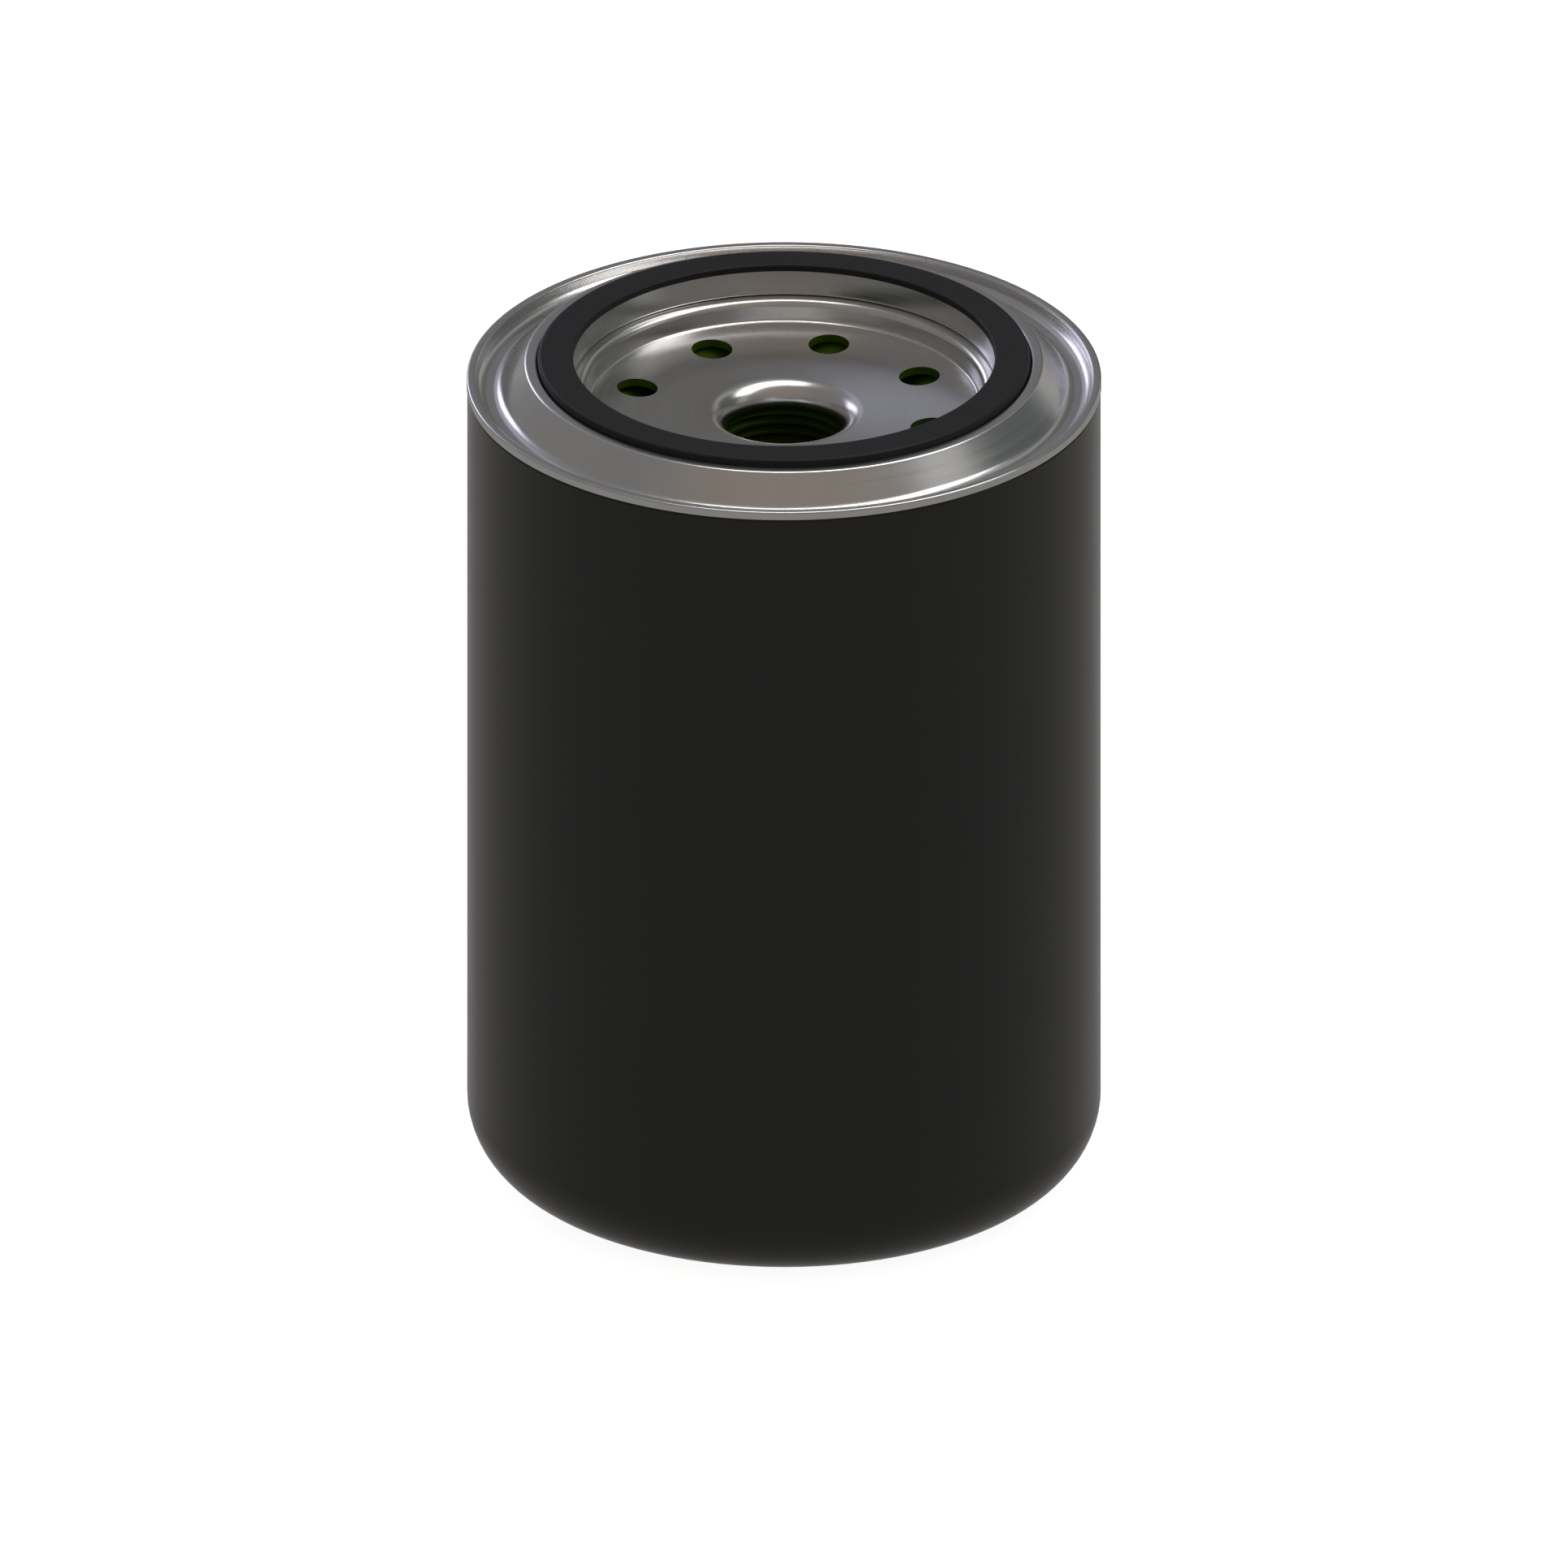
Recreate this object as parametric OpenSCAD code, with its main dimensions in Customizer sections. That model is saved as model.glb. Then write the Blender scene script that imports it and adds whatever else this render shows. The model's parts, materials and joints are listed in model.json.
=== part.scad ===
// Spin-on oil filter: a deep-drawn can closed by a seamed lid, with a pleated element,
// an anti-drainback diaphragm and a bypass valve inside.
// Millimetres. The origin is at the centre of the can's base and +Z points to the thread end.

/* [Can] */
// Outside diameter of the can
can_d = 93; // [90:0.5:100]
// Height from the base to the top of the rolled rim
can_h = 126.5; // [115:0.5:180]
// Sheet thickness of the can
can_t = 0.4; // [0.3:0.05:0.4]
// Outside radius of the rounded edge at the base
can_corner_r = 11; // [8:0.5:14]
// Diameter of the raised panel in the base
base_panel_d = 52; // [46:1:60]
// Height of the raised panel above the standing ring
base_panel_rise = 1.5; // [1:0.1:3]

/* [Seaming lid] */
// Sheet thickness of the lid
lid_t = 0.4; // [0.3:0.05:0.4]
// Width of the rolled rim, seen from above
rim_w = 1.4; // [1.25:0.05:1.4]
// Height of the lid's band round the outside of the can
rim_band_h = 1.2; // [0.9:0.1:1.6]
// Depth of the groove inside the rim
groove_depth = 2; // [1.6:0.1:2.6]
// Diameter where the cone rises out of the groove
cone_foot_d = 83.6; // [82:0.2:84.4]
// Outside diameter of the flat land round the gasket
land_d = 76; // [75:0.2:76.4]
// Height of the land above the rim
land_rise = 2.55; // [1.6:0.05:3]
// Depth of the gasket channel's floor below the rim
channel_depth = 1; // [0.8:0.1:1.4]

/* [Gasket] */
// Outside diameter of the gasket
gasket_od = 72.3; // [72:0.1:72.6]
// Inside diameter of the gasket
gasket_id = 61.9; // [61.6:0.1:62.2]
// Height that the gasket stands above the land
gasket_proud = 1; // [0.8:0.05:2]

/* [Base plate] */
// Sheet thickness of the base plate
plate_t = 1.2; // [1:0.1:1.4]
// Diameter of the plate's flange under the gasket channel
plate_flange_d = 78; // [76:0.5:79]
// Depth of the plate's web below the rim, at the inlet holes
web_depth = 4.85; // [4.5:0.05:6]
// Number of oil inlet holes
inlet_count = 8; // [6:1:8]
// Diameter of each inlet hole
inlet_d = 6; // [4:0.25:6.5]
// Diameter of the circle that the inlet holes lie on
inlet_pcd = 45; // [44:0.5:46]
// Radius of the rounded mouth of the plate's collar
collar_mouth_r = 3.2; // [2.8:0.05:3.5]

/* [Threaded bush] */
// Minor diameter of the 3/4-16 UNF thread through the collar and the bush, left plain
thread_minor_d = 17.46; // [17.3:0.02:17.7]
// Outside diameter of the bush's flange
bush_flange_d = 35; // [34:0.5:36]
// Outside diameter of the bush's barrel
bush_barrel_d = 26; // [25:0.5:27]
// Length of the bush from the end of the collar
bush_length = 11.3; // [10:0.1:12]

/* [Filter element] */
// Number of pleats in the paper
pleat_count = 54; // [40:1:60]
// Thickness of the paper
paper_t = 0.5; // [0.4:0.05:0.6]
// Outside diameter of the end caps
cap_d = 80; // [76:0.5:82]
// Sheet thickness of the end caps and the centre tube
cap_t = 0.4; // [0.3:0.05:0.5]
// Height of the end caps' skirts
cap_skirt_h = 5; // [4:0.5:7]
// Outside diameter of the perforated centre tube
tube_d = 34; // [33.8:0.1:34.4]
// Rows of holes up the centre tube
tube_rows = 12; // [8:1:14]
// Height of the element, over both end caps
element_h = 92.7; // [90:0.1:93]

/* [Bypass valve] */
// Diameter of the hole that the bypass valve shuts
bypass_hole_d = 18; // [14:0.5:19]
// Diameter of the poppet's disc
poppet_d = 24.4; // [22:0.2:24.6]
// Lift of the poppet when it is wide open
bypass_lift = 4; // [2:0.5:5]
// Height of the cage that holds the bypass spring
cage_h = 22.5; // [20:0.5:26]

/* [Springs] */
// Wire diameter of the bypass spring
bypass_wire_d = 1.2; // [1:0.1:1.5]
// Turns of the bypass spring
bypass_turns = 7; // [5:1:8]
// Wire diameter of the element's support spring
support_wire_d = 1.8; // [1.4:0.1:2]
// Mean diameter of the support spring
support_mean_d = 37; // [34:0.5:38]
// Turns of the support spring
support_turns = 4; // [4:1:5]

/* [Hidden] */

$fn = 96;
arc_fineness = 8;       // straight steps in a corner of 1 mm radius
face_gap = 0.02;        // gap between fixed parts that touch
body_gap = 0.1;         // gap between flat faces of parts that move apart
slide_gap = 0.3;        // gap between round faces of parts that move past each other

// Corner radii of bent sheet and moulded rubber
crisp_r = 0.05;
tight_r = 0.3;
soft_r = 0.4;
bend_r = 0.8;
broad_r = 1.2;

// Can, rim and lid
can_r = can_d / 2;
can_neck_drop = 0.4;    // the can turns in this far below the lid's band
base_panel_lean = 2.5;  // width of the slope round the base's panel
rim_outer_r = can_r + 0.1;
rim_inner_r = rim_outer_r - rim_w;
ledge_w = 0.25;         // the small step where the rim meets the groove
ledge_h = 0.6;
neck_outer_r = rim_outer_r - lid_t - face_gap;
neck_inner_r = rim_inner_r + lid_t + face_gap;
groove_z = can_h - groove_depth;
groove_round = 1.6;     // roundings at the groove's outer and inner edges
cone_foot_round = 1.9;
land_round = 0.5;       // rounding at the top of the cone
land_z = can_h + land_rise;
channel_z = can_h - channel_depth;
channel_outer_r = gasket_od / 2 + 0.1;
channel_lip_r = gasket_id / 2 + lid_t;
gasket_top_z = land_z + gasket_proud;
gasket_round = 0.6;     // rounding of the gasket's outer edge
compound_h = 0.15;

// Base plate: its flange lies under the gasket channel, and its web carries the holes
plate_top_z = channel_z - lid_t - face_gap;
web_z = can_h - web_depth;
web_under_z = web_z - plate_t;
web_r = gasket_id / 2 - 2.15;
web_wall_lean = 0.5;
dish_slope = 0.06;      // fall of the web towards the collar
plate_brow_r = 1.2;     // rounding at the top of the web's wall
web_foot_r = 0.5;       // rounding at its foot
thread_minor_r = thread_minor_d / 2;
collar_r = thread_minor_r;
collar_end_z = web_z - 4.35;
inlet_r = inlet_d / 2;

// Threaded bush
bush_top_z = collar_end_z - face_gap;
bush_end_z = collar_end_z - bush_length;
bush_flange_under_z = web_under_z - 3.55;
bush_shoulder_r = 15;
bush_shoulder_z = web_under_z - 7;
thread_chamfer = 0.85;
barrel_chamfer = 0.5;
bush_wall_clear = 0.1;

// Anti-drainback diaphragm
neck_r = bush_barrel_d / 2 + bush_wall_clear;
neck_t = bush_shoulder_r - neck_r;
neck_foot_r = 20;
neck_foot_t = 0.9;
neck_top_z = bush_shoulder_z - face_gap;
flap_inner_r = bush_shoulder_r + slide_gap;
flap_outer_r = 28;
flap_lip_w = 1.4;
flap_bend_r = 2;
flap_root_z = web_under_z - 6.15;
flap_lip_z = web_under_z + dish_slope * (flap_outer_r - flap_lip_w - inlet_pcd / 2) - body_gap;
flap_t = 1.1;

// Element
element_top_z = bush_end_z + 3.2;
element_base_z = element_top_z - element_h;
cap_r = cap_d / 2;
tube_r = tube_d / 2;
cap_collar_r = tube_r - 2 * cap_t - 0.1;
cap_collar_h = 4;
cap_corner_r = broad_r;
potting_h = 2.75;
media_inner_r = tube_r + 0.4;
media_outer_r = cap_r - 1;
media_top_z = element_top_z - cap_t - face_gap - potting_h;
media_base_z = element_base_z + cap_t + face_gap + potting_h;
media_h = media_top_z - media_base_z;
pleat_tip_w = 0.9;
pleat_root_w = 0.8;
clip_t = 0.4;
clip_depth = 6.4;
cord_r = 0.4;
cord_count = 3;
tube_hole_d = 4;
tube_holes_round = 4;   // drills through both walls, so twice as many holes

// Bypass valve, on the lower end cap's turned-up seat
bypass_hole_r = bypass_hole_d / 2;
seat_h = 2.1;
seat_top_z = element_base_z + seat_h;
seal_t = 1.2;
poppet_r = poppet_d / 2;
poppet_t = 1;
poppet_base_z = seat_top_z + 0.05 + seal_t;
poppet_top_z = poppet_base_z + poppet_t;
boss_r = 6.6;
boss_h = 1.5;
stem_r = 2;
stem_guide_clear = 0.08;
cage_t = 0.5;
cage_inner_r = 12.9;
cage_flange_r = cap_collar_r + 0.1;
cage_base_z = element_base_z + cap_t + face_gap;
cage_top_z = cage_base_z + cage_h;
window_w = 12;
window_h = 11;
window_rise = 6;
stem_end_z = cage_top_z + bypass_lift;

// Support spring between the can's base panel and the spring seat
panel_inside_z = base_panel_rise + can_t;
seat_plate_t = 0.6;
seat_plate_z = element_base_z - face_gap;
seat_hole_r = 11;
seat_outer_r = support_mean_d / 2 + support_wire_d / 2 + 0.3 + seat_plate_t;
seat_rim_h = 2.6;

// ---------------------------------------------------------------- profile functions

function unit(v) = v / norm(v);
function left_of(v) = [-v[1], v[0]];
function polar(r, a) = [r * cos(a), r * sin(a)];
function reversed(list) = [for (i = [len(list) - 1 : -1 : 0]) list[i]];
function pair(v) = [v[0], v[1]];

// The arc that rounds corner b between a and c with radius r
function corner_arc(a, b, c, r) =
    let (
        u = unit(a - b),
        v = unit(c - b),
        half = acos(u * v) / 2,
        centre = b + unit(u + v) * r / sin(half),
        from = b + u * r / tan(half) - centre,
        to = b + v * r / tan(half) - centre,
        start = atan2(from[1], from[0]),
        turn = atan2(cross(from, to), from * to),
        steps = max(4, ceil(arc_fineness * sqrt(r)))
    )
    [for (i = [0 : steps]) centre + polar(r, start + turn * i / steps)];

// A path through stops of [x, y, corner radius], with its corners rounded
function rounded(stops) = [
    for (i = [0 : len(stops) - 1])
        let (s = stops[i])
        each (s[2] == 0)
            ? [pair(s)]
            : corner_arc(pair(stops[i - 1]), pair(s), pair(stops[i + 1]), s[2])
];

// The direction of travel into stop i, or out of it at the start
function heading(stops, i) =
    let (k = max(i, 1))
    unit(pair(stops[k]) - pair(stops[k - 1]));

// The stops moved sideways by t, to the left of their path. Their arcs stay concentric.
function shifted(stops, t) = [
    for (i = [0 : len(stops) - 1])
        let (
            before = heading(stops, i),
            after = heading(stops, min(i + 1, len(stops) - 1)),
            mitre = unit(left_of(before) + left_of(after)),
            place = pair(stops[i]) + mitre * t / (mitre * left_of(before)),
            inward = sign(cross(before, after)) * t
        )
        [place[0], place[1], stops[i][2] == 0 ? 0 : max(0, stops[i][2] - inward)]
];

// A closed outline of sheet t thick, on the left of the stops' path
function sheet(stops, t) = concat(rounded(stops), reversed(rounded(shifted(stops, t))));

module lathe(points) {
    rotate_extrude() polygon(points);
}

module ring(inner, outer, z, h) {
    translate([0, 0, z]) difference() {
        cylinder(r = outer, h = h);
        translate([0, 0, -1]) cylinder(r = inner, h = h + 2);
    }
}

// ---------------------------------------------------------------- springs

spring_sides = 8;
spring_steps = 20;      // rings of the mesh in each turn

// Height of the wire's centre after s of n turns: the first and last turns lie closed
function coil_z(s, n, h, wire) =
    let (open = (h - 2 * wire) / (n - 2))
    s < 1 ? s * wire : (s > n - 1 ? h - (n - s) * wire : wire + (s - 1) * open);

// A coil spring of round wire, whose ends are at z and z + length
module coil_spring(mean_r, wire, turns, z, length) {
    rings = turns * spring_steps;
    points = [
        for (i = [0 : rings], j = [0 : spring_sides - 1])
            let (
                s = i / spring_steps,
                section = polar(wire / 2, 360 * j / spring_sides),
                reach = mean_r + section[0]
            )
            [reach * cos(360 * s), reach * sin(360 * s),
             z + wire / 2 + coil_z(s, turns, length - wire, wire * 1.03) + section[1]]
    ];
    walls = [
        for (i = [0 : rings - 1], j = [0 : spring_sides - 1])
            let (
                k = (j + 1) % spring_sides,
                a = i * spring_sides,
                b = a + spring_sides
            )
            [a + j, a + k, b + k, b + j]
    ];
    first = [for (j = [spring_sides - 1 : -1 : 0]) j];
    last = [for (j = [0 : spring_sides - 1]) rings * spring_sides + j];
    polyhedron(points, concat(walls, [first, last]), convexity = 10);
}

// ---------------------------------------------------------------- can, lid and gasket

module canister() {
    stops = [
        [0, base_panel_rise, 0],
        [base_panel_d / 2, base_panel_rise, broad_r],
        [base_panel_d / 2 + base_panel_lean, 0, broad_r],
        [can_r, 0, can_corner_r],
        [can_r, can_h - rim_band_h - can_neck_drop, tight_r],
        [neck_outer_r, can_h - rim_band_h - crisp_r, tight_r],
        [neck_outer_r, can_h - lid_t - face_gap * 2 - compound_h, 0]
    ];
    color([0.13, 0.125, 0.12]) lathe(sheet(stops, can_t));
}

module seaming_lid() {
    stops = [
        [rim_outer_r, can_h - rim_band_h, 0],
        [rim_outer_r, can_h, tight_r],
        [rim_inner_r, can_h, tight_r],
        [rim_inner_r, groove_z + ledge_h, crisp_r],
        [rim_inner_r - ledge_w, groove_z + ledge_h, crisp_r],
        [rim_inner_r - ledge_w - ledge_h, groove_z, groove_round],
        [cone_foot_d / 2, groove_z, cone_foot_round],
        [land_d / 2, land_z, land_round],
        [channel_outer_r, land_z, soft_r],
        [channel_outer_r, channel_z, tight_r],
        [channel_lip_r, channel_z, crisp_r],
        [channel_lip_r, land_z, 0]
    ];
    color([0.72, 0.72, 0.73]) lathe(sheet(stops, lid_t));
}

module seam_compound() {
    color([0.55, 0.5, 0.38])
        ring(neck_inner_r, neck_outer_r, can_h - lid_t - face_gap - compound_h, compound_h);
}

module gasket() {
    seat_z = channel_z + face_gap;
    section = rounded([
        [channel_lip_r + face_gap, land_z + face_gap, 0],
        [channel_lip_r + face_gap, seat_z, soft_r],
        [gasket_od / 2, seat_z, soft_r],
        [gasket_od / 2, gasket_top_z, gasket_round],
        [gasket_id / 2, gasket_top_z, tight_r],
        [gasket_id / 2, land_z + face_gap, 0]
    ]);
    color([0.12, 0.12, 0.13]) lathe(section);
}

// ---------------------------------------------------------------- base plate and bush

plate_stops = [
    [plate_flange_d / 2, plate_top_z, 0],
    [web_r + web_wall_lean, plate_top_z, plate_brow_r],
    [web_r, web_z + dish_slope * (web_r - inlet_pcd / 2), web_foot_r],
    [collar_r, web_z - dish_slope * (inlet_pcd / 2 - collar_r), collar_mouth_r],
    [collar_r, collar_end_z, 0]
];

module base_plate() {
    color([0.7, 0.7, 0.71]) difference() {
        lathe(sheet(plate_stops, plate_t));
        for (i = [0 : inlet_count - 1])
            rotate(360 * i / inlet_count)
                translate([inlet_pcd / 2, 0, web_under_z - 1])
                    cylinder(r = inlet_r, h = plate_t + 2);
    }
}

module threaded_bush() {
    flange_r = bush_flange_d / 2;
    barrel_r = bush_barrel_d / 2;
    // The seat follows the underside of the plate's web and collar
    underside = rounded(shifted(plate_stops, plate_t + face_gap));
    seat = [for (p = underside) if (p[0] < flange_r && p[1] > bush_top_z) p];
    rim_z = seat[0][1] + (flange_r - seat[0][0]) * dish_slope;
    section = concat(
        [[flange_r, rim_z]],
        seat,
        [
            [collar_r + plate_t + face_gap, bush_top_z],
            [thread_minor_r, bush_top_z],
            [thread_minor_r, bush_end_z + thread_chamfer],
            [thread_minor_r + thread_chamfer, bush_end_z],
            [barrel_r - barrel_chamfer, bush_end_z],
            [barrel_r, bush_end_z + barrel_chamfer],
            [barrel_r, bush_shoulder_z],
            [bush_shoulder_r, bush_shoulder_z],
            [bush_shoulder_r, bush_flange_under_z],
            [flange_r, bush_flange_under_z]
        ]
    );
    color([0.16, 0.22, 0.07]) lathe(section);
}

// ---------------------------------------------------------------- anti-drainback diaphragm

module drainback_neck() {
    foot_z = element_top_z + body_gap;
    section = rounded([
        [neck_r, foot_z, 0],
        [neck_foot_r, foot_z, soft_r],
        [neck_foot_r, foot_z + neck_foot_t, soft_r],
        [neck_r + neck_t, foot_z + neck_foot_t, bend_r],
        [neck_r + neck_t, neck_top_z, tight_r],
        [neck_r, neck_top_z, 0]
    ]);
    color([0.2, 0.36, 0.1]) lathe(section);
}

module drainback_flap() {
    stops = [
        [flap_outer_r, flap_lip_z, 0],
        [flap_outer_r - flap_lip_w, flap_lip_z, flap_bend_r],
        [flap_inner_r, flap_root_z, 0]
    ];
    color([0.2, 0.36, 0.1]) lathe(sheet(stops, flap_t));
}

// ---------------------------------------------------------------- filter element

module upper_end_cap() {
    stops = [
        [cap_collar_r, element_top_z - cap_collar_h, 0],
        [cap_collar_r, element_top_z, bend_r],
        [cap_r, element_top_z, cap_corner_r],
        [cap_r, element_top_z - cap_skirt_h, 0]
    ];
    color([0.66, 0.66, 0.66]) lathe(sheet(stops, -cap_t));
}

module lower_end_cap() {
    stops = [
        [bypass_hole_r, seat_top_z, 0],
        [bypass_hole_r, element_base_z, bend_r],
        [cap_r, element_base_z, cap_corner_r],
        [cap_r, element_base_z + cap_skirt_h, 0]
    ];
    color([0.66, 0.66, 0.66]) lathe(sheet(stops, cap_t));
}

module potting(z) {
    color([0.82, 0.78, 0.68]) ring(tube_r + 0.1, cap_r - cap_corner_r, z, potting_h);
}

module upper_potting() potting(media_top_z);

module lower_potting() potting(media_base_z - potting_h);

// The strip starts and ends side by side at the clip, and folds in and out between
module pleated_media() {
    tip_r = media_outer_r - paper_t / 2;
    root_r = media_inner_r + paper_t / 2;
    tip_a = asin(pleat_tip_w / 2 / tip_r);
    root_a = asin(pleat_root_w / 2 / root_r);
    step = 360 / pleat_count;
    end_r = media_outer_r - 2 * clip_t;
    side = paper_t / 2 + 0.05;
    folds = [
        for (i = [0 : pleat_count - 1])
            each concat(
                i == 0 ? [] : [polar(tip_r, i * step - tip_a), polar(tip_r, i * step + tip_a)],
                [polar(root_r, (i + 0.5) * step - root_a), polar(root_r, (i + 0.5) * step + root_a)]
            )
    ];
    middle = [for (p = concat([[end_r, side]], folds, [[end_r, -side]])) [p[0], p[1], 0]];
    outline = sheet(shifted(middle, -paper_t / 2), paper_t);
    color([0.86, 0.77, 0.52])
        translate([0, 0, media_base_z]) linear_extrude(media_h) polygon(outline);
}

module pleat_cords() {
    color([0.9, 0.88, 0.8])
        for (i = [1 : cord_count])
            translate([0, 0, media_base_z + media_h * i / (cord_count + 1)])
                rotate_extrude() translate([media_outer_r + cord_r + 0.06, 0]) circle(r = cord_r);
}

// A channel of thin steel that grips the two ends of the paper
module media_clip() {
    inner_w = 2 * paper_t + 0.5;
    outer_x = media_outer_r - 0.05;
    color([0.68, 0.68, 0.68]) translate([0, 0, media_base_z + 0.2]) linear_extrude(media_h - 0.4)
        difference() {
            translate([outer_x - clip_depth, -inner_w / 2 - clip_t])
                square([clip_depth, inner_w + 2 * clip_t]);
            translate([outer_x - clip_depth - 1, -inner_w / 2])
                square([clip_depth + 1 - clip_t, inner_w]);
        }
}

module centre_tube() {
    base_z = element_base_z + cap_t + face_gap;
    top_z = element_top_z - 2 * cap_t;
    first_z = media_base_z + 5;
    row_step = (media_h - 10) / (tube_rows - 1);
    color([0.62, 0.62, 0.63]) difference() {
        ring(tube_r - cap_t, tube_r, base_z, top_z - base_z);
        for (row = [0 : tube_rows - 1], i = [0 : tube_holes_round - 1])
            translate([0, 0, first_z + row * row_step])
                rotate((i + (row % 2) / 2) * 180 / tube_holes_round)
                    rotate([90, 0, 0])
                        cylinder(d = tube_hole_d, h = tube_d + 2, center = true);
    }
}

// ---------------------------------------------------------------- bypass valve

module bypass_cage() {
    stops = [
        [cage_flange_r, cage_base_z + cage_t, 0],
        [cage_inner_r + cage_t, cage_base_z + cage_t, soft_r],
        [cage_inner_r + cage_t, cage_top_z, broad_r],
        [stem_r + stem_guide_clear, cage_top_z, 0]
    ];
    color([0.64, 0.64, 0.62]) difference() {
        lathe(sheet(stops, cage_t));
        for (a = [0, 90])
            rotate(a)
                translate([-cage_inner_r - 2, -window_w / 2, cage_base_z + window_rise])
                    cube([2 * cage_inner_r + 4, window_w, window_h]);
    }
}

module bypass_poppet() {
    color([0.6, 0.6, 0.6]) union() {
        translate([0, 0, poppet_base_z]) cylinder(r = poppet_r, h = poppet_t);
        translate([0, 0, poppet_base_z]) cylinder(r = boss_r, h = poppet_t + boss_h);
        translate([0, 0, poppet_base_z]) cylinder(r = stem_r, h = stem_end_z - poppet_base_z);
    }
}

module bypass_seal() {
    color([0.14, 0.14, 0.14])
        translate([0, 0, poppet_base_z - seal_t]) cylinder(r = poppet_r - 0.4, h = seal_t - face_gap);
}

module bypass_spring() {
    length = cage_top_z - cage_t - poppet_top_z - 2 * body_gap;
    color([0.75, 0.75, 0.77])
        coil_spring(boss_r + 1.1, bypass_wire_d, bypass_turns, poppet_top_z + body_gap, length);
}

// ---------------------------------------------------------------- support spring

module spring_seat() {
    stops = [
        [seat_hole_r, seat_plate_z, 0],
        [seat_outer_r, seat_plate_z, bend_r],
        [seat_outer_r, seat_plate_z - seat_rim_h, 0]
    ];
    color([0.6, 0.6, 0.6]) lathe(sheet(stops, -seat_plate_t));
}

module support_spring() {
    base_z = panel_inside_z + body_gap;
    top_z = seat_plate_z - seat_plate_t - body_gap;
    color([0.7, 0.7, 0.72])
        coil_spring(support_mean_d / 2, support_wire_d, support_turns, base_z, top_z - base_z);
}

canister();
seaming_lid();
seam_compound();
gasket();
base_plate();
threaded_bush();
drainback_neck();
drainback_flap();
upper_end_cap();
upper_potting();
pleated_media();
pleat_cords();
media_clip();
centre_tube();
lower_potting();
lower_end_cap();
bypass_cage();
bypass_poppet();
bypass_seal();
bypass_spring();
spring_seat();
support_spring();
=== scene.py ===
import json
import math

import bmesh
import bpy
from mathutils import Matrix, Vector


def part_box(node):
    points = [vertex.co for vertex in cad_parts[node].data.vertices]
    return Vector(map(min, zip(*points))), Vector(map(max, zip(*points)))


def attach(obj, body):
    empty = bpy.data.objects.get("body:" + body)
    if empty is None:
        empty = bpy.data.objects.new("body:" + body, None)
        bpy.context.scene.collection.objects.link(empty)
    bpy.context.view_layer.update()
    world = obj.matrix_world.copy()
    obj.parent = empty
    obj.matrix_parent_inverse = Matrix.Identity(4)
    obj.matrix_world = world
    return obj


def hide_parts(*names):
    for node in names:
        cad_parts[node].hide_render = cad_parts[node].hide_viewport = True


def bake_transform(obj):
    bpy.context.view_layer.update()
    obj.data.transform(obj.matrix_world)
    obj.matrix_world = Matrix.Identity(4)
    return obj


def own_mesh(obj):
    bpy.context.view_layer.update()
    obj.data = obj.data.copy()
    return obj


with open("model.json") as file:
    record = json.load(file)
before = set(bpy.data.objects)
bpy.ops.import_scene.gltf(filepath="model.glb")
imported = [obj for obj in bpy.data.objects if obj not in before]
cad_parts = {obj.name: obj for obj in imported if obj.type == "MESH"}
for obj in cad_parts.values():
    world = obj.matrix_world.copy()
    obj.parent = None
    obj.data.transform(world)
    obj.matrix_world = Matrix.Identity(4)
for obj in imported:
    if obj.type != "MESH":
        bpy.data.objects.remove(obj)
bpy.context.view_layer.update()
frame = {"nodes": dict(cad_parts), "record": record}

# Spin-on oil filter on a pale floor. Metres, in the CAD's own frame: +Z is the filter's axis,
# and the can stands on its closed base at z = 0.

MM = 0.001
TURN = 2 * math.pi
NODES = frame["nodes"]
SLOTS = {part["node"]: part["material_slot"] for part in frame["record"]["subparts"]}

# Heights that several pieces and materials share
GASKET_ABOVE_RIM = 3.55 * MM
WEB_BELOW_RIM = 4.85 * MM       # the base plate's web, at the circle of its oil inlets
INLET_R = 22.5 * MM
WEB_SLOPE = 0.06                # the web's fall towards the collar

rim_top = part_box("gasket")[1].z - GASKET_ABOVE_RIM
web_top = rim_top - WEB_BELOW_RIM

# ---------------------------------------------------------------- camera

VIEW_AZIMUTH = math.radians(17)
VIEW_ELEVATION = math.radians(25.3)
VIEW_WIDTH = 0.23005            # what the orthographic frame spans
AIM_BELOW_RIM = 0.06604         # the frame's centre on the axis, below the rim's top
CAMERA_DISTANCE = 0.9


def toward(azimuth, elevation):
    """The unit vector that points out from the origin at these angles."""
    flat = math.cos(elevation)
    return Vector((flat * math.cos(azimuth), flat * math.sin(azimuth), math.sin(elevation)))


def from_camera(azimuth, elevation):
    """The unit vector at these degrees, with azimuth counted from the camera's side."""
    return toward(VIEW_AZIMUTH + math.radians(azimuth), math.radians(elevation))


def look_at(obj, place, target):
    obj.location = place
    obj.rotation_euler = (target - place).to_track_quat("-Z", "Y").to_euler()


def add_camera():
    data = bpy.data.cameras.new("camera")
    data.type = "ORTHO"
    data.ortho_scale = VIEW_WIDTH
    data.clip_end = 10
    camera = bpy.data.objects.new("camera", data)
    bpy.context.scene.collection.objects.link(camera)
    aim = Vector((0, 0, rim_top - AIM_BELOW_RIM))
    look_at(camera, aim + CAMERA_DISTANCE * toward(VIEW_AZIMUTH, VIEW_ELEVATION), aim)
    bpy.context.scene.camera = camera


# ---------------------------------------------------------------- light and floor

ROOM = (0.22, 0.218, 0.216)
FLOOR_GLOW = (0.30, 0.292, 0.283)
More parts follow.
